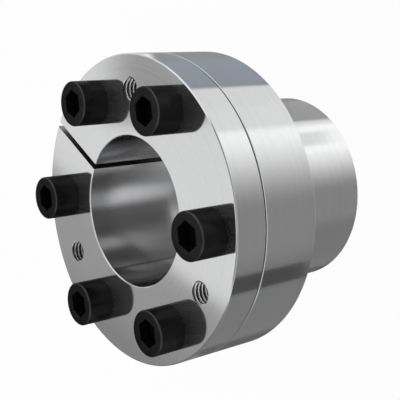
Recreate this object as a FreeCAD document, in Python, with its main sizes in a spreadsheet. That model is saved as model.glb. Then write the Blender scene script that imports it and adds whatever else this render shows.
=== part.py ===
"""Flanged shaft locking assembly, 35 mm shaft to 47 mm hub bore, held by six M6 cap screws.

The assembly stands on the end of its barrel, with the screw heads on top.  The Z axis is the shaft's
axis and Z = 0 is the end of the barrel.  Two steel rings make the clamp.  The outer ring has a thin
barrel, which goes into the hub, and a thick collar, whose rear face stops against the hub.  The inner
ring is a long cone with a flange of the collar's diameter.  The cone lies inside the outer ring, and
both cones are widest at the flange.  The screws pass through the flange and pull it towards the
collar, so that the cone is driven in, the barrel grows into the hub and the bore closes on the shaft.
Both rings are slit along one side, at +X, so that they can do so.  Three tapped holes in the flange
take jack screws, which push the rings apart again.
"""
import FreeCAD, Part
import math
import os

import Sketcher

DOC = FreeCAD.newDocument("shaft_locking_assembly")
SHEET = DOC.addObject("Spreadsheet::Sheet", "sizes")

# Driving dimensions: millimetres, degrees and counts
SIZES = [
    ("shaft_diameter", 35.0, "bore that closes on the shaft"),
    ("barrel_diameter", 47.0, "outside of the barrel, which fits the hub's bore"),
    ("flange_diameter", 72.0, "outside of the flange and of the collar"),
    ("barrel_length", 29.0, "end of the barrel to the collar's rear face"),
    ("collar_thickness", 14.7, "thick rim of the outer ring"),
    ("flange_thickness", 8.0, "rim of the inner ring"),
    ("seam_gap", 0.3, "flange to collar when the screws are tight"),
    ("tail_recess", 1.0, "end of the barrel to the end of the cone inside it"),
    ("tail_wall", 1.8, "wall of the inner ring at the thin end of its cone"),
    ("taper_angle", 3.0, "slope of both cones from the axis"),
    ("taper_clearance", 0.05, "between the two cones, measured from the axis outwards"),
    ("slit_width", 1.5, "slit along one side of each ring"),
    ("rim_chamfer", 0.25, "front edge of the flange and rear edge of the collar"),
    ("seam_chamfer", 0.1, "edges of the flange and of the collar at the seam between them"),
    ("barrel_chamfer", 0.5, "lead-in on the end of the barrel"),
    ("bore_chamfer", 0.2, "front of the shaft bore and rear of the outer ring's cone"),
    ("tail_chamfer", 0.4, "rear of the shaft bore, at the thin end of the inner ring"),
    ("screw_inset", 8.0, "rim of the flange to the circle of the screws and jack holes"),
    ("screw_count", 6, "clamping screws"),
    ("jack_count", 3, "tapped holes in the flange for jack screws"),
    ("thread_diameter", 6.0, "wall of each tapped hole, the outer diameter of an M6 thread"),
    ("thread_clearance", 0.05, "screw to the wall of its tapped hole, at the side"),
    ("screw_length", 20.0, "underside of the head to the tip"),
    ("tip_chamfer", 0.6, "lead-in at the screw's tip"),
    ("head_diameter", 10.5, "head of the cap screw"),
    ("head_height", 6.45, "head of the cap screw"),
    ("head_chamfer", 0.25, "front edge of the head"),
    ("socket_width", 5.7, "across the flats of the hexagon socket"),
    ("socket_depth", 3.2, "front of the head to the floor of the socket"),
    ("socket_lead_in", 0.15, "sloping mouth of the socket"),
    ("socket_turn", 38.0, "corner of each socket, from the line out from the shaft's axis"),
    ("clearance_hole", 6.6, "diameter of the holes in the flange that the screws pass through"),
    ("hole_chamfer", 0.3, "rear mouths of the screws' tapped holes"),
]

# Places that follow from the driving dimensions
PLACES = [
    ("bolt_circle", "=flange_diameter - 2 * screw_inset"),
    ("collar_front", "=barrel_length + collar_thickness"),
    ("flange_rear", "=barrel_length + collar_thickness + seam_gap"),
    ("flange_front", "=barrel_length + collar_thickness + seam_gap + flange_thickness"),
    ("shank_radius", "=thread_diameter / 2 - thread_clearance"),
    ("tail_radius", "=shaft_diameter / 2 + tail_wall"),
    ("screw_pitch_angle", "=360 / screw_count"),
    ("first_screw_angle", "=360 / screw_count / 2"),
    ("first_jack_angle", "=360 / jack_count / 2"),
]

# How far a cutting shape runs past the face that it cuts
OVERSHOOT = 0.5
FULL_TURN = 360.0
HEXAGON_SIDES = 6
# Edges within this of a face's height lie on it
TOUCH = 1e-4


def fill_sheet():
    """Writes the sizes, and the places that follow from them, into the sheet."""
    rows = [(alias, str(value), text) for alias, value, text in SIZES]
    rows += [(alias, formula, "follows from the sizes above") for alias, formula in PLACES]
    for row, (alias, content, text) in enumerate(rows, start=1):
        SHEET.set(f"A{row}", alias)
        SHEET.set(f"B{row}", content)
        SHEET.set(f"C{row}", text)
        SHEET.setAlias(f"B{row}", alias)
    DOC.recompute()


def origin_plane(body, role):
    """One of the body's own origin planes, such as XZ_Plane."""
    return next(feature for feature in body.Origin.OriginFeatures if feature.Role == role)


def new_sketch(body, name, role, lift=None, turn=None):
    """A sketch on one of the body's origin planes, lifted off it or turned about the upright axis."""
    sketch = body.newObject("Sketcher::SketchObject", name)
    sketch.AttachmentSupport = (origin_plane(body, role), [""])
    sketch.MapMode = "FlatFace"
    if turn:
        upright = FreeCAD.Vector(0, 1, 0) if role == "XZ_Plane" else FreeCAD.Vector(0, 0, 1)
        sketch.AttachmentOffset = FreeCAD.Placement(FreeCAD.Vector(), FreeCAD.Rotation(upright, 1.0))
        sketch.setExpression("AttachmentOffset.Rotation.Angle", turn)
    if lift:
        sketch.setExpression("AttachmentOffset.Base.z", lift)
    return sketch


def place_point(sketch, line, position, across, up):
    """Binds the start of a line to two expressions, or puts it on an axis where one of them is 0."""
    for kind, expression, axis in (("DistanceX", across, -2), ("DistanceY", up, -1)):
        if expression == "0":
            sketch.addConstraint(Sketcher.Constraint("PointOnObject", line, 1, axis))
            continue
        index = sketch.addConstraint(Sketcher.Constraint(kind, -1, 1, line, 1, position[kind]))
        sketch.setExpression(f"Constraints[{index}]", expression)


def closed_outline(sketch, corners):
    """A closed outline of straight lines, with each corner bound to a pair of expressions."""
    points = []
    for across, up in corners:
        x = float(sketch.evalExpression(across))
        y = float(sketch.evalExpression(up))
        points.append(FreeCAD.Vector(x, y, 0))
    count = len(points)
    for i, start in enumerate(points):
        sketch.addGeometry(Part.LineSegment(start, points[(i + 1) % count]), False)
    for i in range(count):
        sketch.addConstraint(Sketcher.Constraint("Coincident", i, 2, (i + 1) % count, 1))
    for i, (across, up) in enumerate(corners):
        position = {"DistanceX": points[i].x, "DistanceY": points[i].y}
        place_point(sketch, i, position, across, up)


def revolve_outline(body, name, corners):
    """Turns an outline in the XZ plane once round the Z axis, as on a lathe."""
    sketch = new_sketch(body, f"{name}_section", "XZ_Plane")
    closed_outline(sketch, corners)
    turned = body.newObject("PartDesign::Revolution", name)
    turned.Profile = sketch
    turned.ReferenceAxis = (sketch, ["V_Axis"])
    turned.Angle = FULL_TURN
    body.Tip = turned


def ring_of_holes(body, name, radius, low, high, first_angle, count, rear_chamfer=None):
    """Round holes on the bolt circle, from one height to another, with a rear chamfer if one is given."""
    sketch = new_sketch(body, f"{name}_section", "XZ_Plane", turn=first_angle)
    centre = "sizes.bolt_circle / 2"
    wall = f"{centre} + {radius}"
    below = f"{low} - {OVERSHOOT}"
    above = f"{high} + {OVERSHOOT}"
    rear = [(wall, below)]
    if rear_chamfer:
        rear = [(f"{wall} + {rear_chamfer} + {OVERSHOOT}", below), (wall, f"{low} + {rear_chamfer}")]
    closed_outline(sketch, [(centre, above), (centre, below), *rear, (wall, above)])
    axis = sketch.addGeometry(sketch.Geometry[0], True)
    sketch.addConstraint(Sketcher.Constraint("Coincident", axis, 1, 0, 1))
    sketch.addConstraint(Sketcher.Constraint("Coincident", axis, 2, 0, 2))
    hole = body.newObject("PartDesign::Groove", name)
    hole.Profile = sketch
    hole.ReferenceAxis = (sketch, ["Axis0"])
    hole.Angle = FULL_TURN
    pattern = body.newObject("PartDesign::PolarPattern", f"{name}_ring")
    pattern.Originals = [hole]
    pattern.Axis = (origin_plane(body, "Z_Axis"), [""])
    pattern.Angle = FULL_TURN
    pattern.Occurrences = int(SHEET.get(count))
    pattern.setExpression("Occurrences", f"sizes.{count}")
    body.Tip = pattern


def cut_slit(body, name, outer_radius):
    """A slit from the bore to the outside along the whole ring, in the plane of +X."""
    sketch = new_sketch(body, f"{name}_outline", "XY_Plane")
    inside = "sizes.shaft_diameter / 4"
    outside = f"{outer_radius} + {OVERSHOOT}"
    closed_outline(sketch, [
        (inside, "-sizes.slit_width / 2"),
        (outside, "-sizes.slit_width / 2"),
        (outside, "sizes.slit_width / 2"),
        (inside, "sizes.slit_width / 2"),
    ])
    slit = body.newObject("PartDesign::Pocket", name)
    slit.Profile = sketch
    slit.Type = "ThroughAll"
    slit.Midplane = True
    body.Tip = slit


def make_inner_ring():
    """Long slit cone with the flange that carries the screw heads and the jack holes."""
    body = DOC.addObject("PartDesign::Body", "inner_ring")
    bore = "sizes.shaft_diameter / 2"
    rim = "sizes.flange_diameter / 2"
    slope = "tan(sizes.taper_angle * 1 deg)"
    tail = "sizes.tail_recess"
    root = f"sizes.tail_radius + (sizes.flange_rear - {tail}) * {slope}"
    tail_chamfer = "min(sizes.tail_chamfer; sizes.tail_wall / 2)"
    revolve_outline(body, "inner_ring_turned", [
        (f"{bore} + {tail_chamfer}", tail),
        ("sizes.tail_radius", tail),
        (root, "sizes.flange_rear"),
        (f"{rim} - sizes.seam_chamfer", "sizes.flange_rear"),
        (rim, "sizes.flange_rear + sizes.seam_chamfer"),
        (rim, "sizes.flange_front - sizes.rim_chamfer"),
        (f"{rim} - sizes.rim_chamfer", "sizes.flange_front"),
        (f"{bore} + sizes.bore_chamfer", "sizes.flange_front"),
        (bore, "sizes.flange_front - sizes.bore_chamfer"),
        (bore, f"{tail} + {tail_chamfer}"),
    ])
    ring_of_holes(body, "clearance_hole", "sizes.clearance_hole / 2", "sizes.flange_rear",
                  "sizes.flange_front", "sizes.first_screw_angle", "screw_count")
    ring_of_holes(body, "jack_hole", "sizes.thread_diameter / 2", "sizes.flange_rear",
                  "sizes.flange_front", "sizes.first_jack_angle", "jack_count")
    cut_slit(body, "inner_slit", rim)
    return body


def make_outer_ring():
    """Slit barrel that goes into the hub, with the thick collar that the screws are threaded into."""
    body = DOC.addObject("PartDesign::Body", "outer_ring")
    barrel = "sizes.barrel_diameter / 2"
    rim = "sizes.flange_diameter / 2"
    slope = "tan(sizes.taper_angle * 1 deg)"
    seat = "sizes.tail_radius + sizes.taper_clearance"

    def cone(height):
        return f"{seat} + ({height} - sizes.tail_recess) * {slope}"

    mouth = "sizes.bore_chamfer"
    front = "sizes.collar_front"
    revolve_outline(body, "outer_ring_turned", [
        (f"{cone(mouth)} + {mouth}", "0"),
        (f"{barrel} - sizes.barrel_chamfer", "0"),
        (barrel, "sizes.barrel_chamfer"),
        (barrel, "sizes.barrel_length"),
        (f"{rim} - sizes.rim_chamfer", "sizes.barrel_length"),
        (rim, "sizes.barrel_length + sizes.rim_chamfer"),
        (rim, f"{front} - sizes.seam_chamfer"),
        (f"{rim} - sizes.seam_chamfer", front),
        (cone(front), front),
        (cone(mouth), mouth),
    ])
    ring_of_holes(body, "tapped_hole", "sizes.thread_diameter / 2", "sizes.barrel_length",
                  front, "sizes.first_screw_angle", "screw_count", "sizes.hole_chamfer")
    cut_slit(body, "outer_slit", rim)
    return body


def hexagon(sketch, corner_radius):
    """A regular hexagon about the sketch's origin, its first corner on the sketch's X axis."""
    radius = float(sketch.evalExpression(corner_radius))
    corners = []
    for i in range(HEXAGON_SIDES):
        angle = i * math.tau / HEXAGON_SIDES
        corners.append(FreeCAD.Vector(radius * math.cos(angle), radius * math.sin(angle), 0))
    for i in range(HEXAGON_SIDES):
        sketch.addGeometry(Part.LineSegment(corners[i], corners[(i + 1) % HEXAGON_SIDES]), False)
    circle = sketch.addGeometry(Part.Circle(FreeCAD.Vector(), FreeCAD.Vector(0, 0, 1), radius), True)
    for i in range(HEXAGON_SIDES):
        sketch.addConstraint(Sketcher.Constraint("Coincident", i, 2, (i + 1) % HEXAGON_SIDES, 1))
        sketch.addConstraint(Sketcher.Constraint("PointOnObject", i, 1, circle))
    for i in range(1, HEXAGON_SIDES):
        sketch.addConstraint(Sketcher.Constraint("Equal", 0, i))
    sketch.addConstraint(Sketcher.Constraint("Coincident", circle, 3, -1, 1))
    sketch.addConstraint(Sketcher.Constraint("PointOnObject", 0, 1, -1))
    index = sketch.addConstraint(Sketcher.Constraint("Radius", circle, radius))
    sketch.setExpression(f"Constraints[{index}]", corner_radius)


def edges_of(feature, wanted):
    """Names of the feature's edges that a test accepts."""
    return [f"Edge{i}" for i, edge in enumerate(feature.Shape.Edges, start=1) if wanted(edge)]


def make_cap_screw(number):
    """One M6 socket head cap screw, its head seated on the flange and its thread in the collar."""
    name = f"cap_screw_{number}"
    body = DOC.addObject("PartDesign::Body", name)
    shank = "sizes.shank_radius"
    head = "sizes.head_diameter / 2"
    top = "sizes.head_height"
    tip = "-sizes.screw_length"
    revolve_outline(body, f"{name}_turned", [
        ("0", tip),
        (f"{shank} - sizes.tip_chamfer", tip),
        (shank, f"{tip} + sizes.tip_chamfer"),
        (shank, "0"),
        (head, "0"),
        (head, f"{top} - sizes.head_chamfer"),
        (f"{head} - sizes.head_chamfer", top),
        ("0", top),
    ])

    outline = new_sketch(body, f"{name}_hexagon", "XY_Plane", lift=top, turn="sizes.socket_turn")
    hexagon(outline, "sizes.socket_width / sqrt(3)")
    socket = body.newObject("PartDesign::Pocket", f"{name}_socket")
    socket.Profile = outline
    socket.Length = float(SHEET.get("socket_depth"))
    socket.setExpression("Length", "sizes.socket_depth")
    body.Tip = socket
    DOC.recompute()
    height = float(SHEET.get("head_height"))

    def at_mouth(edge):
        return isinstance(edge.Curve, Part.Line) and edge.BoundBox.ZMin > height - TOUCH

    lead_in = body.newObject("PartDesign::Chamfer", f"{name}_lead_in")
    lead_in.Base = (socket, edges_of(socket, at_mouth))
    lead_in.Size = float(SHEET.get("socket_lead_in"))
    lead_in.setExpression("Size", "sizes.socket_lead_in")
    body.Tip = lead_in

    turn = f"sizes.first_screw_angle + {number - 1} * sizes.screw_pitch_angle"
    body.setExpression("Placement.Base.x", f"sizes.bolt_circle / 2 * cos(({turn}) * 1 deg)")
    body.setExpression("Placement.Base.y", f"sizes.bolt_circle / 2 * sin(({turn}) * 1 deg)")
    body.setExpression("Placement.Base.z", "sizes.flange_front")
    body.Placement.Rotation = FreeCAD.Rotation(FreeCAD.Vector(0, 0, 1), 1.0)
    body.setExpression("Placement.Rotation.Angle", turn)
    return body


def check_document():
    """Stops the script if any object of the document failed to build."""
    for item in DOC.Objects:
        if "Invalid" in item.State or "Error" in item.State:
            raise RuntimeError(f"{item.Name} did not build: {item.State}")


def write_parts(bodies):
    """Writes each sub-part's solid to its own file, named by its Label."""
    os.makedirs("parts", exist_ok=True)
    for body in bodies:
        shape = body.Shape
        if shape.isNull() or not shape.isValid() or len(shape.Solids) != 1:
            raise RuntimeError(f"{body.Label} is not one valid solid")
        shape.exportStep(os.path.join("parts", f"{body.Label}.step"))
        box = shape.BoundBox
        print(f"{body.Label}: {shape.Volume:.1f} mm3, Z {box.ZMin:.2f} to {box.ZMax:.2f}")


def main():
    fill_sheet()
    bodies = [make_outer_ring(), make_inner_ring()]
    bodies += [make_cap_screw(number + 1) for number in range(int(SHEET.get("screw_count")))]
    DOC.recompute()
    check_document()
    write_parts(bodies)


main()
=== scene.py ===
# %% [markdown]
# A shaft locking assembly clamps a hub to a plain shaft.  Two slit steel rings with matching cones are
# drawn together by six cap screws, so that the bore closes on the shaft and the barrel grows into the hub.
# The construction model gives every piece its place and size.  This file gives the pieces the looks of
# turned steel and black screws: real threads, rounded edges, tool marks and a small photo studio.

# %% Load the construction model
import math

import bpy
from mathutils import Matrix, Vector


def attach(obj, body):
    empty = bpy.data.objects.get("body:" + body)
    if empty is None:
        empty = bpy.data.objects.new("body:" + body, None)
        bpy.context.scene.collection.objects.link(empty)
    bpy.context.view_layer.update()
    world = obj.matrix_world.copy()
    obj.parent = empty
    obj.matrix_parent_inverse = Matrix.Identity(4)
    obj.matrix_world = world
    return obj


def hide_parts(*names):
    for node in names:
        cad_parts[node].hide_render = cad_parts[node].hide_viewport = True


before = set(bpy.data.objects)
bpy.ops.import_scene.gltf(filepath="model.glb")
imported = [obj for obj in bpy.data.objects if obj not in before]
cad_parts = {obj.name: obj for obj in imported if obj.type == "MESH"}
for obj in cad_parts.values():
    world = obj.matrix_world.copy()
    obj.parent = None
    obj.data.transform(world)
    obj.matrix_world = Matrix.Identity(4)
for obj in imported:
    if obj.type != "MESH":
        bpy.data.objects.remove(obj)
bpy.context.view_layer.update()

print("nodes in the frame:", sorted(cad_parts))

# %% [markdown]
# The main sizes are named once, in metres, as a drawing of the assembly would give them.  The heights
# run from the end of the barrel, on which the assembly stands, up to the front of the flange.

# %% Sizes of the real assembly
MM = 0.001
BORE_RADIUS = 17.5 * MM
BARREL_RADIUS = 23.5 * MM
RIM_RADIUS = 36.0 * MM
COLLAR_REAR = 29.0 * MM
COLLAR_FRONT = 43.7 * MM
FLANGE_REAR = 44.0 * MM
FLANGE_FRONT = 52.0 * MM
TAIL_HEIGHT = 1.0 * MM
TAIL_RADIUS = 19.3 * MM
CONE_GAP = 0.05 * MM
CONE_SLOPE = math.tan(math.radians(3))
BOLT_RADIUS = 28.0 * MM
HEAD_RADIUS = 5.25 * MM
HEAD_HEIGHT = 6.45 * MM
SCREW_ANGLES = [30, 90, 150, 210, 270, 330]
# How far a cutting shape runs past the face that it cuts
PAST = 0.6 * MM
print("flange", round(2000 * RIM_RADIUS), "mm across, bore", round(2000 * BORE_RADIUS), "mm")

# %% [markdown]
# A finish on the real object is a sum of small things: tool marks, stains, a worn edge.  Materials are
# therefore written as sums.  The class below wraps a socket of a node, so that an expression such as
# marks * 0.1 + 0.6 adds the Math nodes by itself.

# %% Values that add their own nodes
class Value:
    """A number that changes over the surface, which is one output of a node."""

    def __init__(self, shader, socket):
        self.shader = shader
        self.socket = socket

    def other_output(self, name):
        """Another output of the same node."""
        return Value(self.shader, self.socket.node.outputs[name])

    def math(self, operation, *others):
        """Any operation of the Math node on this value."""
        return self.shader.node("ShaderNodeMath", {"operation": operation}, (self, *others))

    def __add__(self, other):
        return self.math("ADD", other)

    def __radd__(self, other):
        return self.math("ADD", other)

    def __sub__(self, other):
        return self.math("SUBTRACT", other)

    def __rsub__(self, other):
        return self.shader.node("ShaderNodeMath", {"operation": "SUBTRACT"}, (other, self))

    def __mul__(self, other):
        return self.math("MULTIPLY", other)

    def __rmul__(self, other):
        return self.math("MULTIPLY", other)


print("values know + - and *")

# %% [markdown]
# Every other node is added by one method.  It takes the node's type, its settings and its inputs.  An
# input is either a plain number or colour, which is set on the socket, or a value, which is linked to it.

# %% One method for any node
class Shader:
    """The node tree of one material or world."""

    def __init__(self, owner):
        owner.use_nodes = True
        self.tree = owner.node_tree
        self.tree.nodes.clear()

    def node(self, kind, settings=None, inputs=(), output=0):
        """Adds a node: first its settings, then its inputs by place or name."""
        node = self.tree.nodes.new(kind)
        for name, value in (settings or {}).items():
            setattr(node, name, value)
        pairs = inputs.items() if isinstance(inputs, dict) else enumerate(inputs)
        for key, value in pairs:
            if isinstance(value, Value):
                self.tree.links.new(value.socket, node.inputs[key])
            else:
                node.inputs[key].default_value = value
        return Value(self, node.outputs[output]) if node.outputs else None


print("any node can be added")

# %% [markdown]
# Marks and stains are noise that is read at the place of the surface point.  Object coordinates are used,
# because they stay with the piece when a joint moves it.  Very small marks also tilt the surface, which a
# Bump node does without a single extra face.

# %% Place, noise, bump and tint
MICRON = MM / 1000


def split(point):
    """The three numbers of a point or a direction."""
    x = point.shader.node("ShaderNodeSeparateXYZ", {}, (point,))
    return x, x.other_output("Y"), x.other_output("Z")


def place(shader):
    """The point on the piece, in metres from the origin, as three values."""
    return split(shader.node("ShaderNodeTexCoord", output="Object"))


def noise(x, y, z, scale, detail, roughness=0.5):
    """Noise about one half, over three values."""
    point = x.shader.node("ShaderNodeCombineXYZ", {}, (x, y, z))
    return x.shader.node("ShaderNodeTexNoise", {}, {"Vector": point, "Scale": scale, "Detail": detail,
                                                    "Roughness": roughness})


def bump(marks, depth):
    """A normal that is tilted by marks of this depth in metres."""
    return marks.shader.node("ShaderNodeBump", {}, {"Strength": 1.0, "Distance": depth, "Height": marks})


def tint(shade, green, blue):
    """A grey of this brightness, with its green and blue weighted a little."""
    return shade.shader.node("ShaderNodeCombineColor", {}, (shade, shade * green, shade * blue))


print("finishes read the place on the piece")

# %% [markdown]
# Turned steel is bright, and what makes it look turned are marks that run round the axis: on a rim they
# are lines of one height, and on a flat face they are circles of one radius.  Noise that is read at
# (radius, height) gives both at once.  The marks change the brightness, the gloss and the surface a
# little.  A wide, faint cloud keeps the steel from looking like plastic.  The bore is a little duller
# than the outside, because it is bored with a long thin tool.

# %% Turned steel
LATHE_DEPTH = 0.15 * MICRON
FINE_MARKS = 5200.0
WIDE_MARKS = 900.0
STEEL_CLOUDS = 45.0
HAZE_ROUGHNESS = 0.55


def steel(name, level, gloss, haze):
    """Bright steel with tool marks round the Z axis, and a faint haze over its gloss."""
    material = bpy.data.materials.new(name)
    shader = Shader(material)
    x, y, z = place(shader)
    radius = (x * x + y * y).math("POWER", 0.5)
    fine = noise(radius, z, 0.0, FINE_MARKS, 2.0)
    wide = noise(radius, z, 0.0, WIDE_MARKS, 3.0)
    specks = noise(x, y, z, WIDE_MARKS, 2.0)
    cloud = noise(x, y, z, STEEL_CLOUDS, 3.0)
    marks = fine * 0.6 + wide * 0.4
    shade = marks * 0.10 + cloud * 0.03 + specks * 0.03 + level - 0.02
    looks = {"Base Color": tint(shade, 1.003, 1.012), "Metallic": 1.0, "Normal": bump(marks, LATHE_DEPTH)}
    roughness = (marks - 0.5) * 0.06 + (cloud - 0.5) * 0.03 + gloss
    clear = shader.node("ShaderNodeBsdfPrincipled", {}, {**looks, "Roughness": roughness})
    dull = shader.node("ShaderNodeBsdfPrincipled", {}, {**looks, "Roughness": HAZE_ROUGHNESS})
    surface = shader.node("ShaderNodeMixShader", {}, (haze, clear, dull))
    shader.node("ShaderNodeOutputMaterial", {}, (surface,))
    return material


TURNED_STEEL = steel("lathe_steel", level=0.57, gloss=0.07, haze=0.07)
BORE_STEEL = steel("bored_steel", level=0.51, gloss=0.13, haze=0.03)
print("made", TURNED_STEEL.name, "and", BORE_STEEL.name)

# %% [markdown]
# The slit is sawn and milled after turning, so its walls have straight marks.  Threads and holes are cut
# bright and stay glossy, because nothing rubs them.  In the open jack holes the thread is painted in two
# tones: the flanks that look out of the hole get a painted highlight, and the rest of the thread gets
# painted shade.  These are materials of the cutting shapes: the Boolean modifier hands the cutter's
# material to the wall that it leaves.

# %% Steel of the cut walls
CUTTER_DEPTH = 0.5 * MICRON
CUTTER_MARKS = 2600.0
CUT_CLOUDS = 260.0


def cut_steel(name, level, gloss, along):
    """Steel of a cut wall.  Its fine marks are drawn out along X and Y where along is small."""
    material = bpy.data.materials.new(name)
    shader = Shader(material)
    x, y, z = place(shader)
    marks = noise(x * along, y * along, z, CUTTER_MARKS, 3.0)
    cloud = noise(x, y, z, CUT_CLOUDS, 2.0)
    shade = marks * 0.08 + cloud * 0.05 + level
    surface = shader.node("ShaderNodeBsdfPrincipled", {}, {
        "Base Color": tint(shade, 1.0, 1.01), "Metallic": 1.0, "Roughness": (marks - 0.5) * 0.1 + gloss,
        "Normal": bump(marks, CUTTER_DEPTH)})
    shader.node("ShaderNodeOutputMaterial", {}, (surface,))
    return material


MILLED_STEEL = cut_steel("milled_steel", level=0.20, gloss=0.30, along=0.1)
THREAD_STEEL = cut_steel("thread_steel", level=0.72, gloss=0.20, along=0.6)
# Painted highlight and painted shade: the jack threads' flanks are painted lighter and their grooves
# darker than the thread steel
FLANK_PAINTED_HIGHLIGHT = cut_steel("flank_steel_painted_highlight", level=0.86, gloss=0.36, along=0.6)
GROOVE_PAINTED_SHADE = cut_steel("groove_steel_painted_shade", level=0.10, gloss=0.30, along=0.6)
print("made", MILLED_STEEL.name, THREAD_STEEL.name, FLANK_PAINTED_HIGHLIGHT.name, "and", GROOVE_PAINTED_SHADE.name)

# %% [markdown]
# The six screw heads share one material, and each rim is painted lighter: partly wear, partly a painted
# highlight of the rounded edge.  A rim lies at one distance from its screw's own axis.  The screws stand
# 60 degrees apart, so folding the compass into one sixth of a turn finds the nearest screw, and one
# expression serves all six.  A soft step over that distance then fades the lighter rim in near the edge.

# %% The nearest screw and a soft step
def steps(value, low, high):
    """A soft step from zero at one limit to one at the other, which may be the lower one."""
    return value.shader.node("ShaderNodeMapRange", {"interpolation_type": "SMOOTHSTEP"},
                             (value, low, high))


def nearest_screw_axis(x, y):
    """Distance from the axis of the nearest cap screw."""
    sixth = math.tau / len(SCREW_ANGLES)
    turn = (y.math("ARCTAN2", x) - math.radians(SCREW_ANGLES[0])).math("WRAP", sixth / 2, -sixth / 2)
    radius = (x * x + y * y).math("POWER", 0.5)
    out = radius * turn.math("COSINE") - BOLT_RADIUS
    side = radius * turn.math("SINE")
    return (out * out + side * side).math("POWER", 0.5)


print("screws stand", 360 // len(SCREW_ANGLES), "degrees apart")

# %% [markdown]
# The cap screws are black: an oxide layer a few thousandths of a millimetre thick, with a soft oily
# sheen.  The rim of the head is painted lighter, partly as wear where grey steel shows and partly as a
# painted highlight of the edge.

# %% Black screw steel
HEAD_TOP = FLANGE_FRONT + HEAD_HEIGHT
OXIDE_DEPTH = 3.0 * MICRON
OXIDE_GRAIN = 2400.0
OXIDE_CLOUDS = 180.0
OXIDE_GLINT = (0.3, 0.3, 0.3, 1)


def black_finish(name):
    """Black oxide on steel, dark and half glossy, with a head rim painted lighter as wear and highlight.
    """
    material = bpy.data.materials.new(name)
    shader = Shader(material)
    x, y, z = place(shader)
    grain = noise(x, y, z, OXIDE_GRAIN, 3.0, 0.6)
    cloud = noise(x, y, z, OXIDE_CLOUDS, 2.0)
    near_side = steps(nearest_screw_axis(x, y), HEAD_RADIUS - 0.30 * MM, HEAD_RADIUS - 0.20 * MM)
    near_top = steps(z, HEAD_TOP - 0.32 * MM, HEAD_TOP - 0.22 * MM)
    # The rim is painted lighter: partly wear, partly a painted highlight of the rounded edge
    rim_wear_and_highlight = near_side * near_top * (cloud * 0.6 + 0.5)
    tone = cloud * 0.006 + grain * 0.004 + rim_wear_and_highlight * 0.05 + 0.013
    roughness = (grain - 0.5) * 0.14 + (cloud - 0.5) * 0.06 + 0.30
    surface = shader.node("ShaderNodeBsdfPrincipled", {}, {
        "Base Color": tint(tone, 1.0, 1.03), "Metallic": 0.8, "Roughness": roughness,
        "Normal": bump(grain, OXIDE_DEPTH), "Specular Tint": OXIDE_GLINT,
        "Specular IOR Level": 0.4})
    shader.node("ShaderNodeOutputMaterial", {}, (surface,))
    return material


BLACK_STEEL = black_finish("black_screw_steel")
print("made", BLACK_STEEL.name)

# %% [markdown]
# An operator acts on everything that is selected, so each step first selects its one piece, and then the
# points of it that it needs, by their place.

# %% Choose a piece or its points
# How far a point may lie from a plane or the axis and still count as on it
NEAR = MM / 100


def choose(piece):
    """Makes this piece the only one that is selected."""
    bpy.ops.object.select_all(action="DESELECT")
    piece.select_set(True)
    bpy.context.view_layer.objects.active = piece


def edit(piece):
    """Opens the piece in edit mode with all of it selected."""
    choose(piece)
    bpy.ops.object.mode_set(mode="EDIT")
    bpy.ops.mesh.select_all(action="SELECT")


def done():
    """Closes edit mode."""
    bpy.ops.object.mode_set(mode="OBJECT")


def pick_points(piece, wanted):
    """Opens the piece in edit mode with only the points selected that a test accepts."""
    choose(piece)
    bpy.ops.object.mode_set(mode="EDIT")
    bpy.ops.mesh.select_mode(type="VERT")
    bpy.ops.mesh.select_all(action="DESELECT")
    done()
    for point in piece.data.vertices:
        point.select = wanted(point)
    bpy.ops.object.mode_set(mode="EDIT")


print("points count as on a plane within", NEAR / MM, "mm")

# %% [markdown]
# Turned parts are made as on a lathe: one point is pushed along the outline of the section, the outline
# is closed, and Spin turns it once round the Z axis.  The corners of the outline are rounded before the
# spin, because that is one small bevel, while a bevel on the solid would be a large one.

# %% Turn a section into a solid
# Points of a new piece that lie closer than this are one
MERGE = MM / 1000


def wire(name, points):
    """A line of straight runs in the XZ plane, pushed out from one point."""
    bpy.ops.object.select_all(action="DESELECT")
    bpy.ops.mesh.primitive_plane_add(size=MM)
    piece = bpy.context.object
    piece.name = name
    bpy.ops.object.mode_set(mode="EDIT")
    bpy.ops.mesh.merge(type="CENTER")
    bpy.ops.transform.translate(value=(points[0][0], 0, points[0][1]))
    for (x, z), (next_x, next_z) in zip(points, points[1:]):
        move = (next_x - x, 0, next_z - z)
        bpy.ops.mesh.extrude_region_move(TRANSFORM_OT_translate={"value": move})
    done()
    return piece


def turned(name, outline, steps_round, rounding=0.0):
    """A solid of revolution from a closed outline of (radius, height) points.

    rounding is the size of the rounded corners, which are the points away from the axis.
    """
    piece = wire(name, outline)
    last = len(outline) - 1
    pick_points(piece, lambda point: point.index in (0, last))
    bpy.ops.mesh.edge_face_add()
    done()
    if rounding:
        pick_points(piece, lambda point: point.co.x > NEAR)
        bpy.ops.mesh.bevel(offset=rounding, segments=3, affect="VERTICES")
        done()
    edit(piece)
    bpy.ops.mesh.spin(steps=steps_round, angle=math.tau, center=(0, 0, 0), axis=(0, 0, 1))
    bpy.ops.mesh.select_all(action="SELECT")
    bpy.ops.mesh.remove_doubles(threshold=MERGE)
    bpy.ops.mesh.normals_make_consistent(inside=False)
    done()
    return piece


print("doubles merge within", MERGE / MM, "mm")

# %% [markdown]
# The outer ring is turned from one bar: a thin barrel that goes into the hub, and a thick collar whose
# rear face stops against the hub.  Inside runs the cone that the inner ring is drawn into.  The edges are
# broken as a lathe hand leaves them, and least at the seam, where the two rings meet.

# %% Outer ring: the turned blank
EDGE = 0.25 * MM
SEAM_EDGE = 0.1 * MM
BARREL_EDGE = 0.5 * MM
BORE_EDGE = 0.2 * MM
CORNER = 0.06 * MM
RING_STEPS = 256


def cone_radius(height):
    """Radius of the inner ring's cone at a height."""
    return TAIL_RADIUS + (height - TAIL_HEIGHT) * CONE_SLOPE


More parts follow.
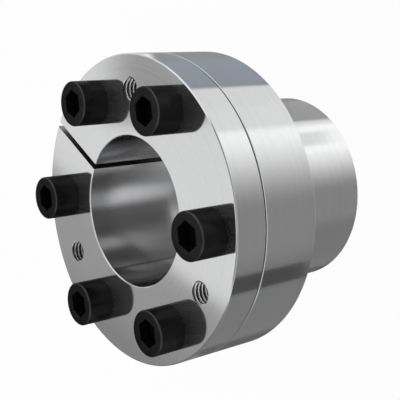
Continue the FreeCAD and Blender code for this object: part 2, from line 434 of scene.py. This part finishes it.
outer_ring = turned("outer_ring_machined", [
    (cone_radius(BORE_EDGE) + CONE_GAP + BORE_EDGE, 0.0),
    (BARREL_RADIUS - BARREL_EDGE, 0.0),
    (BARREL_RADIUS, BARREL_EDGE),
    (BARREL_RADIUS, COLLAR_REAR),
    (RIM_RADIUS - EDGE, COLLAR_REAR),
    (RIM_RADIUS, COLLAR_REAR + EDGE),
    (RIM_RADIUS, COLLAR_FRONT - SEAM_EDGE),
    (RIM_RADIUS - SEAM_EDGE, COLLAR_FRONT),
    (cone_radius(COLLAR_FRONT) + CONE_GAP, COLLAR_FRONT),
    (cone_radius(BORE_EDGE) + CONE_GAP, BORE_EDGE),
], RING_STEPS, rounding=CORNER)
outer_ring.data.materials.append(TURNED_STEEL)
print(outer_ring.name, "has", len(outer_ring.data.polygons), "faces before cutting")

# %% [markdown]
# Six tapped holes take the cap screws.  A hole is cut as in the workshop: a tool of the hole's shape is
# set in its place and taken away from the ring.  The tool is made once and copied round the bolt circle.
# All its copies are joined, so that one Boolean cuts the whole circle.

# %% Copies round the bolt circle, and the cut they make
def copy_to(pattern, degrees, height):
    """A copy with its own mesh on the bolt circle, turned with its place round the axis."""
    choose(pattern)
    bpy.ops.object.duplicate(linked=False)
    copy = bpy.context.object
    edit(copy)
    bpy.ops.transform.translate(value=(BOLT_RADIUS, 0, height))
    done()
    copy.rotation_euler.z = math.radians(degrees)
    bpy.ops.object.transform_apply(location=False, rotation=True, scale=False)
    return copy


def copies_round(pattern, angles, height_at=lambda degrees: 0.0):
    """Copies of a pattern, which is used up, at these angles of the bolt circle."""
    copies = [copy_to(pattern, degrees, height_at(degrees)) for degrees in angles]
    bpy.data.objects.remove(pattern)
    return copies


def joined(pieces):
    """Several pieces as one."""
    choose(pieces[0])
    for piece in pieces:
        piece.select_set(True)
    bpy.ops.object.join()
    return bpy.context.object


def combine(piece, tool, operation):
    """Cuts, joins or intersects the piece with a tool, which is used up."""
    choose(piece)
    bpy.ops.object.modifier_add(type="BOOLEAN")
    modifier = piece.modifiers[-1]
    modifier.operation = operation
    modifier.solver = "EXACT"
    modifier.material_mode = "TRANSFER"
    modifier.object = tool
    bpy.ops.object.modifier_apply(modifier=modifier.name)
    bpy.data.objects.remove(tool)


print("the bolt circle is", round(2 * BOLT_RADIUS / MM), "mm across")

# %% [markdown]
# Where a tapped hole comes out at the rear of the collar, its edge is chamfered, so that the thread
# leaves no burr.  The chamfer is cut first, by a blunt cone that starts outside the steel.

# %% Outer ring: chamfers of the tapped holes
TAP_RADIUS = 3.0 * MM
MOUTH = 0.3 * MM
HOLE_STEPS = 64

rear_chamfer = turned("rear_chamfer", [
    (0.0, COLLAR_REAR - PAST),
    (TAP_RADIUS + MOUTH + PAST, COLLAR_REAR - PAST),
    (TAP_RADIUS - PAST, COLLAR_REAR + (MOUTH + PAST)),
    (0.0, COLLAR_REAR + (MOUTH + PAST)),
], HOLE_STEPS)
rear_chamfer.data.materials.append(THREAD_STEEL)
combine(outer_ring, joined(copies_round(rear_chamfer, SCREW_ANGLES)), "DIFFERENCE")
print("chamfered", len(SCREW_ANGLES), "holes at the rear")

# %% [markdown]
# An M6 thread has a pitch of 1 mm, flanks at 60 degrees and a depth of 0.54 mm.  One pitch of its outline
# is drawn as a short line, and the Screw modifier winds it up the axis, which is exactly how a thread is
# cut.  The ends of the winding are ragged, so Bisect cuts them flat and fills them.  The same rod serves
# twice: as the shank of a screw, and slightly larger as the tap that cuts the threaded holes.

# %% Outer ring: a threaded rod taps the holes
PITCH = 1.0 * MM
THREAD_DEPTH = 0.5413 * MM
# Shares of a pitch
ROOT_LAND = 1 / 4
CREST_LAND = 1 / 8
FLANK = (1 - ROOT_LAND - CREST_LAND) / 2
THREAD_STEPS = 48
# Points that lie closer than this at a cut are one
CUT_MERGE = MM / 10000


def threaded_rod(name, crest, low, high, material):
    """A solid rod with a right-hand thread that stays in step with every other such rod."""
    root = crest - THREAD_DEPTH
    turns_below = math.floor(low / PITCH) - 2
    turns = math.ceil(high / PITCH) + 1 - turns_below
    start = turns_below * PITCH
    rod = wire(name, [
        (root, start),
        (root, start + ROOT_LAND * PITCH),
        (crest, start + (ROOT_LAND + FLANK) * PITCH),
        (crest, start + (ROOT_LAND + FLANK + CREST_LAND) * PITCH),
        (root, start + PITCH),
    ])
    choose(rod)
    bpy.ops.object.modifier_add(type="SCREW")
    winding = rod.modifiers[-1]
    winding.axis = "Z"
    winding.angle = math.tau
    winding.screw_offset = PITCH
    winding.iterations = turns
    winding.steps = THREAD_STEPS
    winding.render_steps = THREAD_STEPS
    bpy.ops.object.modifier_apply(modifier=winding.name)
    edit(rod)
    bpy.ops.mesh.remove_doubles(threshold=MERGE)
    for height, waste in ((low, "clear_inner"), (high, "clear_outer")):
        bpy.ops.mesh.select_all(action="SELECT")
        bpy.ops.mesh.bisect(plane_co=(0, 0, height), plane_no=(0, 0, 1), use_fill=True,
                            threshold=CUT_MERGE, **{waste: True})
    bpy.ops.mesh.select_all(action="SELECT")
    bpy.ops.mesh.normals_make_consistent(inside=False)
    done()
    rod.data.materials.append(material)
    return rod


tap = threaded_rod("collar_tap", TAP_RADIUS, COLLAR_REAR - PAST, COLLAR_FRONT + PAST, THREAD_STEEL)
print("the tap has", len(tap.data.polygons), "faces")
combine(outer_ring, joined(copies_round(tap, SCREW_ANGLES)), "DIFFERENCE")
print(outer_ring.name, "has", len(outer_ring.data.polygons), "faces when tapped")

# %% [markdown]
# A ring can only close on the shaft if it is slit, so a saw goes through the whole wall at one place.
# The slit is cut last, by a flat block in the plane of +X.

# %% Outer ring: the slit
SLIT_WIDTH = 1.5 * MM


def slit_cutter(low, high):
    """A flat block in the plane of +X that reaches from the bore past the rim."""
    bpy.ops.object.select_all(action="DESELECT")
    bpy.ops.mesh.primitive_cube_add(size=1.0, location=(0, 0, 0))
    block = bpy.context.object
    edit(block)
    inside, outside = BORE_RADIUS / 2, RIM_RADIUS + PAST
    bpy.ops.transform.resize(value=(outside - inside, SLIT_WIDTH, high - low), center_override=(0, 0, 0))
    bpy.ops.transform.translate(value=((inside + outside) / 2, 0, (low + high) / 2))
    done()
    block.data.materials.append(MILLED_STEEL)
    return block


combine(outer_ring, slit_cutter(-PAST, COLLAR_FRONT + PAST), "DIFFERENCE")
print("slit", SLIT_WIDTH / MM, "mm wide")

# %% [markdown]
# A cut leaves some points twice, which are merged.  The ring is then shaded smooth over its round walls
# and sharp at its edges.  The weighting keeps a large face true up to its edge, so that it mirrors the
# room without a bend, and leaves the turn to the small faces of the rounding.

# %% Outer ring: shading
SHARP_ANGLE = 28


def finish_shading(piece):
    """Merges the doubles that cutting leaves, then shades the walls smooth and the edges sharp."""
    edit(piece)
    bpy.ops.mesh.remove_doubles(threshold=CUT_MERGE)
    done()
    bpy.ops.object.shade_smooth_by_angle(angle=math.radians(SHARP_ANGLE))
    bpy.ops.object.modifier_add(type="WEIGHTED_NORMAL")
    weighting = piece.modifiers[-1]
    weighting.mode = "FACE_AREA"
    weighting.weight = 100
    weighting.keep_sharp = True
    bpy.ops.object.modifier_apply(modifier=weighting.name)


finish_shading(outer_ring)
print(outer_ring.name, "has", len(outer_ring.data.polygons), "faces")

# %% [markdown]
# The inner ring is a long thin cone with a flange.  It is turned like the outer ring, from the outline of
# its section, and both share the function for the cone, so the two walls stay parallel.

# %% Inner ring: the turned blank
TAIL_EDGE = 0.4 * MM

inner_ring = turned("inner_ring_machined", [
    (BORE_RADIUS + TAIL_EDGE, TAIL_HEIGHT),
    (TAIL_RADIUS, TAIL_HEIGHT),
    (cone_radius(FLANGE_REAR), FLANGE_REAR),
    (RIM_RADIUS - SEAM_EDGE, FLANGE_REAR),
    (RIM_RADIUS, FLANGE_REAR + SEAM_EDGE),
    (RIM_RADIUS, FLANGE_FRONT - EDGE),
    (RIM_RADIUS - EDGE, FLANGE_FRONT),
    (BORE_RADIUS + BORE_EDGE, FLANGE_FRONT),
    (BORE_RADIUS, FLANGE_FRONT - BORE_EDGE),
    (BORE_RADIUS, TAIL_HEIGHT + TAIL_EDGE),
], RING_STEPS, rounding=CORNER)
inner_ring.data.materials.append(TURNED_STEEL)
print(inner_ring.name, "has", len(inner_ring.data.polygons), "faces before cutting")

# %% [markdown]
# The cap screws pass through the flange, so its six holes are plain and a little wider than the screws.

# %% Inner ring: clearance holes
CLEARANCE_RADIUS = 3.3 * MM

clearance = turned("clearance_cutter", [
    (0.0, FLANGE_REAR - PAST),
    (CLEARANCE_RADIUS, FLANGE_REAR - PAST),
    (CLEARANCE_RADIUS, FLANGE_FRONT + PAST),
    (0.0, FLANGE_FRONT + PAST),
], HOLE_STEPS)
clearance.data.materials.append(THREAD_STEEL)
combine(inner_ring, joined(copies_round(clearance, SCREW_ANGLES)), "DIFFERENCE")
print("drilled", len(SCREW_ANGLES), "plain holes in the flange")

# %% [markdown]
# Three more holes in the flange are tapped.  Screws that are driven into those push against the collar
# and take the two rings apart again.  A tap that is turned with its place round the ring turns its thread
# too, which lowers the thread by a share of a pitch.  Each tap is raised by the same share, so all three
# threads start at the same compass direction, as in the photograph.

# %% Inner ring: jack threads
JACK_ANGLES = [60, 180, 300]
# Share of a pitch by which the jack threads are raised at compass 0
JACK_START = 0.70
# A face of the tap that looks down more than this leaves a flank that looks out of the hole, which gets
# the painted highlight
OUTWARD_SLOPE = -0.3

jack_tap = threaded_rod("jack_tap", TAP_RADIUS, FLANGE_REAR - PAST - PITCH, FLANGE_FRONT + PAST,
                        GROOVE_PAINTED_SHADE)
jack_tap.data.materials.append(FLANK_PAINTED_HIGHLIGHT)
# Flanks that look out of the hole get the painted highlight, all the rest of the thread the painted shade
for face in jack_tap.data.polygons:
    if face.normal.z < OUTWARD_SLOPE:
        face.material_index = 1
jack_taps = copies_round(jack_tap, JACK_ANGLES, lambda degrees: (degrees / 360 + JACK_START) * PITCH)
combine(inner_ring, joined(jack_taps), "DIFFERENCE")
print("tapped", len(JACK_ANGLES), "jack holes")

# %% [markdown]
# The inner ring is slit at the same place as the outer one.  The wall of the bore was bored, not
# polished, so its faces, which are found by their place and normal, get the duller steel.

# %% Inner ring: slit, bore finish and shading
combine(inner_ring, slit_cutter(TAIL_HEIGHT - PAST, FLANGE_FRONT + PAST), "DIFFERENCE")
inner_ring.data.materials.append(BORE_STEEL)
bore_slot = len(inner_ring.data.materials) - 1
bored_faces = 0
for face in inner_ring.data.polygons:
    middle = Vector((face.center.x, face.center.y, 0))
    looks_inward = middle.dot(face.normal) < -0.5 * middle.length
    if middle.length < BORE_RADIUS + 2 * NEAR and looks_inward:
        face.material_index = bore_slot
        bored_faces += 1
finish_shading(inner_ring)
print(inner_ring.name, "has", len(inner_ring.data.polygons), "faces, of which", bored_faces, "in the bore")

# %% [markdown]
# The cap screws are M6 with a length of 20 mm.  One is made on the axis and copied to its six places.
# The head is turned first, with a rounded front edge.

# %% Cap screw: the head
HEAD_EDGE = 0.25 * MM
HEAD_CORNER = 0.10 * MM
HEAD_STEPS = 96

pattern_screw = turned("pattern_screw", [
    (0.0, FLANGE_FRONT),
    (HEAD_RADIUS, FLANGE_FRONT),
    (HEAD_RADIUS, HEAD_TOP - HEAD_EDGE),
    (HEAD_RADIUS - HEAD_EDGE, HEAD_TOP),
    (0.0, HEAD_TOP),
], HEAD_STEPS, rounding=HEAD_CORNER)
pattern_screw.data.materials.append(BLACK_STEEL)
print("the head has", len(pattern_screw.data.polygons), "faces")

# %% [markdown]
# A hexagonal punch leaves the socket.  It starts as a cylinder with six sides.  Its upper end is flared
# for the lead at the mouth, and its lower end is drawn to a point, as the drill leaves the socket's floor.

# %% Cap screw: the socket
SOCKET_WIDTH = 5.7 * MM
SOCKET_DEPTH = 3.2 * MM
SOCKET_LEAD = 0.12 * MM
SOCKET_POINT = 0.9 * MM
SOCKET_TURN = 38

floor_height = HEAD_TOP - SOCKET_DEPTH
straight = SOCKET_DEPTH - SOCKET_LEAD
flare = SOCKET_LEAD + PAST
grow = (SOCKET_WIDTH / 2 + flare) / (SOCKET_WIDTH / 2)
bpy.ops.object.select_all(action="DESELECT")
bpy.ops.mesh.primitive_cylinder_add(vertices=6, radius=SOCKET_WIDTH / math.sqrt(3), depth=straight,
                                    location=(0, 0, 0), rotation=(0, 0, 0))
punch = bpy.context.object
edit(punch)
bpy.ops.transform.translate(value=(0, 0, floor_height + straight / 2))
done()
pick_points(punch, lambda point: point.co.z > HEAD_TOP - SOCKET_LEAD - NEAR)
bpy.ops.mesh.extrude_region_move(TRANSFORM_OT_translate={"value": (0, 0, flare)})
bpy.ops.transform.resize(value=(grow, grow, 1), center_override=(0, 0, HEAD_TOP))
done()
pick_points(punch, lambda point: point.co.z < floor_height + NEAR)
bpy.ops.mesh.extrude_region_move(TRANSFORM_OT_translate={"value": (0, 0, -SOCKET_POINT)})
bpy.ops.mesh.merge(type="CENTER")
done()
# The cylinder's first corner lies on +Y
punch.rotation_euler.z = math.radians(SOCKET_TURN - 90)
choose(punch)
bpy.ops.object.transform_apply(location=False, rotation=True, scale=False)
combine(pattern_screw, punch, "DIFFERENCE")
print("socket", round(SOCKET_WIDTH / MM, 2), "mm across the flats")

# %% [markdown]
# The shank is the threaded rod, trimmed by a blank with a chamfered tip.  It reaches a little way into the
# head, so that the two become one solid.

# %% Cap screw: the threaded shank
SHANK_RADIUS = 2.95 * MM
SCREW_LENGTH = 20.0 * MM
TIP_CHAMFER = 0.6 * MM

tip = FLANGE_FRONT - SCREW_LENGTH
shank = threaded_rod("shank", SHANK_RADIUS, tip - PAST, FLANGE_FRONT + PAST, BLACK_STEEL)
blank = turned("blank", [
    (0.0, tip),
    (SHANK_RADIUS - TIP_CHAMFER, tip),
    (SHANK_RADIUS + PAST, tip + TIP_CHAMFER + PAST),
    (SHANK_RADIUS + PAST, FLANGE_FRONT + PAST / 2),
    (0.0, FLANGE_FRONT + PAST / 2),
], HOLE_STEPS)
blank.data.materials.append(BLACK_STEEL)
combine(shank, blank, "INTERSECT")
combine(pattern_screw, shank, "UNION")
print("one screw has", len(pattern_screw.data.polygons), "faces")

# %% [markdown]
# The six copies differ only in their place.  Each is turned with its place round the axis, as the
# construction model has it, so the sockets keep the angles of the photograph and the threads stay in step
# with the collar.

# %% Six screws in their places
cap_screws = copies_round(pattern_screw, SCREW_ANGLES)
for number, screw in enumerate(cap_screws, start=1):
    screw.name = f"cap_screw_{number}_threaded"
    finish_shading(screw)
print("placed", len(cap_screws), "screws")

# %% [markdown]
# Every piece rides on the body of the node that it stands for, so that it follows the joints: the inner
# ring slides out of the outer ring, and each screw turns once for each millimetre.

# %% Hand the pieces to the frame
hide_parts("outer_ring")
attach(outer_ring, "outer_ring")
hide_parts("inner_ring")
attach(inner_ring, "inner_ring")
for number, screw in enumerate(cap_screws, start=1):
    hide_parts(f"cap_screw_{number}")
    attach(screw, f"cap_screw_{number}")

# %% [markdown]
# Polished metal looks like what stands round it, so the studio matters more than the steel.  The studio
# is painted on the world, by the compass direction and the height of a ray in degrees.  Each card or lamp
# is a soft-edged panel in front of what was there before, with a mask for its place and a strength.

# %% Studio: panels by compass and height
studio = bpy.data.worlds.new("studio")
bpy.context.scene.world = studio
# The panels are large and soft, so the renderer needs no map of the world's bright spots
studio.cycles.sampling_method = "NONE"
room = Shader(studio)
ray_x, ray_y, ray_z = split(room.node("ShaderNodeTexCoord", output="Generated"))
compass = ray_y.math("ARCTAN2", ray_x) * (180 / math.pi)
height = ray_z.math("ARCSINE") * (180 / math.pi)


def away(middle):
    """Degrees of compass to either side of a direction."""
    return (compass - middle).math("WRAP", 180.0, -180.0)


def around(middle, edge, full):
    """A mask over compass that is nothing past the edge and all there nearer than full."""
    return steps(away(middle).math("ABSOLUTE"), edge, full)


def heights(edge, full):
    """A mask over height that is nothing at the edge and all there from full on."""
    return steps(height, edge, full)


def panel(level, mask, strength):
    """A panel in front of what was there."""
    return level + mask * (strength - level)


print("the studio is painted in degrees")

# %% [markdown]
# The room is a white backdrop with a dark end, which shapes the round walls.  Below eye level stands a
# dim skirt, darker at one end.  The rims and the barrel mirror it, because the camera looks down on them,
# and without it a bright cylinder would look flat.

# %% Studio: backdrop and skirt
level = panel(1.0, around(88.0, 66.0, 52.0) * heights(40.0, 30.0), strength=0.20)
skirt = heights(-24.0, -28.0) * heights(-58.0, -53.0)
level = panel(level, skirt, strength=0.315)
level = panel(level, skirt * around(112.0, 68.0, 50.0), strength=0.25)
level = panel(level, skirt * around(70.0, 26.0, 10.0), strength=0.13)
print("backdrop and skirt stand")

# %% [markdown]
# In front of the skirt stand the lamps and cards that the rims and the barrel mirror: a wide side panel,
# a window that fades along the wall, a strip of light low down with a greyer middle, the dark edge of a
# doorway, and the low end of the wall behind the camera.

# %% Studio: what the rims and the barrel mirror
low_strip = around(-77.0, 26.0, 15.0) * heights(-45.2, -45.9) * heights(-58.0, -53.0)
window = skirt * steps(away(-120.0), 36.5, 31.5) * steps(away(-120.0), -30.0, 30.0)
level = panel(level, skirt * around(-67.5, 22.0, 18.0), strength=1.03)
level = panel(level, window, strength=1.42)
level = panel(level, low_strip, strength=1.5)
level = panel(level, around(-78.5, 14.0, 6.0) * heights(-48.5, -47.0), strength=1.08)
level = panel(level, skirt * around(155.0, 10.0, 5.0) * heights(-45.5, -44.5), strength=0.06)
level = panel(level, skirt * around(-22.0, 30.0, 24.0) * heights(-44.5, -46.0), strength=0.47)
print("lamps stand in front of the skirt")

# %% [markdown]
# The flat faces mirror what stands high up on the far side: an overhead panel with a leaning far edge, the
# dim wall round it, and a dark frame across its near end.  A panel above eye level lights the front edges,
# with a grey card beside it.

# %% Studio: what the flat faces mirror
level = panel(level, around(38.0, 80.0, 62.0) * heights(12.0, 20.0) * heights(56.0, 48.0), strength=0.44)
level = panel(level, around(-47.0, 30.0, 25.0) * heights(16.0, 20.0) * heights(49.0, 46.0), strength=1.25)
level = panel(level, around(-141.0, 66.0, 58.0) * heights(29.0, 33.0) * heights(54.0, 51.0), strength=0.28)

far_edge = away(40.3) - (height - 30.3) * 1.47
overhead = steps(far_edge, 1.0, -1.0) * heights(10.0, 20.0) * steps(compass, 0.0, 12.0)
beyond = (steps(far_edge, 6.0, 12.0) * steps(compass, 40.0, 46.0) * heights(20.0, 26.0)
          * steps(compass, 100.0, 80.0))
level = panel(level, beyond, strength=0.30)
level = panel(level, overhead, strength=1.03)

frame_top = height - 38.5 - (compass - 32.0) * 0.6
frame_bar = (steps(compass, 37.6, 36.4) * steps(compass, 10.0, 20.0) * heights(32.6, 35.6)
             * steps(frame_top, 0.6, -0.6))
level = panel(level, frame_bar, strength=0.44)
print("the overhead panel hangs")

# %% [markdown]
# The bore mirrors its own walls several times over before a ray leaves it, and such a ray leaves between
# two heights that nothing else reflects.  There stand a dim wall with a lamp, two dark cards, and a lamp
# for the lower wall, which give the bore its bright band and its dark sides.  The rims mirror a breath of
# blue from one side of the room.

# %% Studio: what the bore mirrors
bore_rays = heights(-36.9, -36.2) * heights(-24.0, -28.0)
low_lamp = steps(compass, -56.0, -16.0) * steps(compass, 32.0, -6.0) * heights(-28.0, -31.0)
level = panel(level, bore_rays, strength=low_lamp * 1.60 + 0.24)
level = panel(level, bore_rays * around(-80.0, 34.0, 16.0), strength=0.15)
level = panel(level, bore_rays * heights(-35.5, -36.3) * around(137.0, 44.0, 34.0), strength=0.06)
level = panel(level, bore_rays * heights(-33.6, -32.8) * around(144.0, 60.0, 0.0), strength=1.9)

BLUE_TINT = (0.05, 0.10, 0.16)
blue = (steps(compass, -49.5, -42.0) * steps(compass, 12.0, -18.0) * heights(-46.0, -43.5)
        * heights(-36.9, -37.6))
room_colour = room.node("ShaderNodeCombineColor", {}, [level + blue * part for part in BLUE_TINT])
print("the bore has its own lamps")

# %% [markdown]
# The camera sees plain white, and only mirrored rays see the room with its cards and lamps.  All other
# rays, which light the pieces softly, get one even level.  Colours are mixed with Mix nodes, because a
# Math node would turn them grey.

# %% Studio: which ray sees what
WHITE = (1, 1, 1, 1)
EVEN_LIGHT = (0.85, 0.85, 0.85, 1)


def mix(factor, colour_a, colour_b):
    """One colour mixed into another."""
    return factor.shader.node("ShaderNodeMix", {"data_type": "RGBA"},
                              {0: factor, 6: colour_a, 7: colour_b}, output=2)


camera_ray = room.node("ShaderNodeLightPath", output="Is Camera Ray")
glossy_ray = camera_ray.other_output("Is Glossy Ray")
mirrored_ray = glossy_ray.math("MAXIMUM", camera_ray.other_output("Is Transmission Ray"))
seen = mix(camera_ray, mix(mirrored_ray, EVEN_LIGHT, room_colour), WHITE)
background = room.node("ShaderNodeBackground", {}, (seen, 1.0))
room.node("ShaderNodeOutputWorld", {}, (background,))
print("the world has", len(room.tree.nodes), "nodes")

# %% [markdown]
# The assembly stands on the end of its barrel, so the floor lies at height 0.  The camera sees the floor
# almost as pure white, and the little that is left of its own shading keeps the assembly's soft shadow.
# The floor is hidden from mirrored rays, so the steel mirrors the lower half of the studio in its place.

# %% Floor
FLOOR_SIZE = 4.0
FLOOR_GLOW = 0.95

bpy.ops.object.select_all(action="DESELECT")
bpy.ops.mesh.primitive_plane_add(size=FLOOR_SIZE, location=(0, 0, 0))
floor = bpy.context.object
floor.name = "studio_floor"
floor.visible_glossy = False
floor_material = bpy.data.materials.new("white_floor")
paint = Shader(floor_material)
matt = paint.node("ShaderNodeBsdfPrincipled", {}, {"Base Color": (0.9, 0.9, 0.9, 1), "Roughness": 0.9})
glow = paint.node("ShaderNodeEmission", {}, (WHITE, 1.0))
floor_seen = paint.node("ShaderNodeLightPath", output="Is Camera Ray")
blended = paint.node("ShaderNodeMixShader", {}, (floor_seen * FLOOR_GLOW, matt, glow))
paint.node("ShaderNodeOutputMaterial", {}, (blended,))
floor.data.materials.append(floor_material)
print("floor at height", floor.location.z)

# %% [markdown]
# The camera looks down on the front of the flange, from the side that lies away from the slit.  It is
# rolled so that the shaft's axis runs across the picture, as the assembly was photographed.

# %% Camera
CAMERA_PLACE = Vector((-119.11, -114.39, 164.94)) * MM
CAMERA_COMPASS = -136.227
CAMERA_HEIGHT = 38.934
CAMERA_ROLL = -98.983

camera_data = bpy.data.cameras.new("camera")
camera_data.sensor_width = 36.0
camera_data.lens = 78.05
camera_data.clip_start = 0.01
camera_data.clip_end = 10.0
camera = bpy.data.objects.new("camera", camera_data)
bpy.context.scene.collection.objects.link(camera)
swing = Matrix.Rotation(math.radians(CAMERA_COMPASS + 90), 4, "Z")
tilt = Matrix.Rotation(math.radians(90 - CAMERA_HEIGHT), 4, "X")
roll = Matrix.Rotation(math.radians(CAMERA_ROLL), 4, "Z")
camera.matrix_world = Matrix.Translation(CAMERA_PLACE) @ swing @ tilt @ roll
bpy.context.scene.camera = camera
print("camera", round(CAMERA_PLACE.length / MM), "mm from the origin")

# %% [markdown]
# The colours are shown as they are, with no film look.

# %% Picture settings
bpy.context.scene.view_settings.view_transform = "Standard"
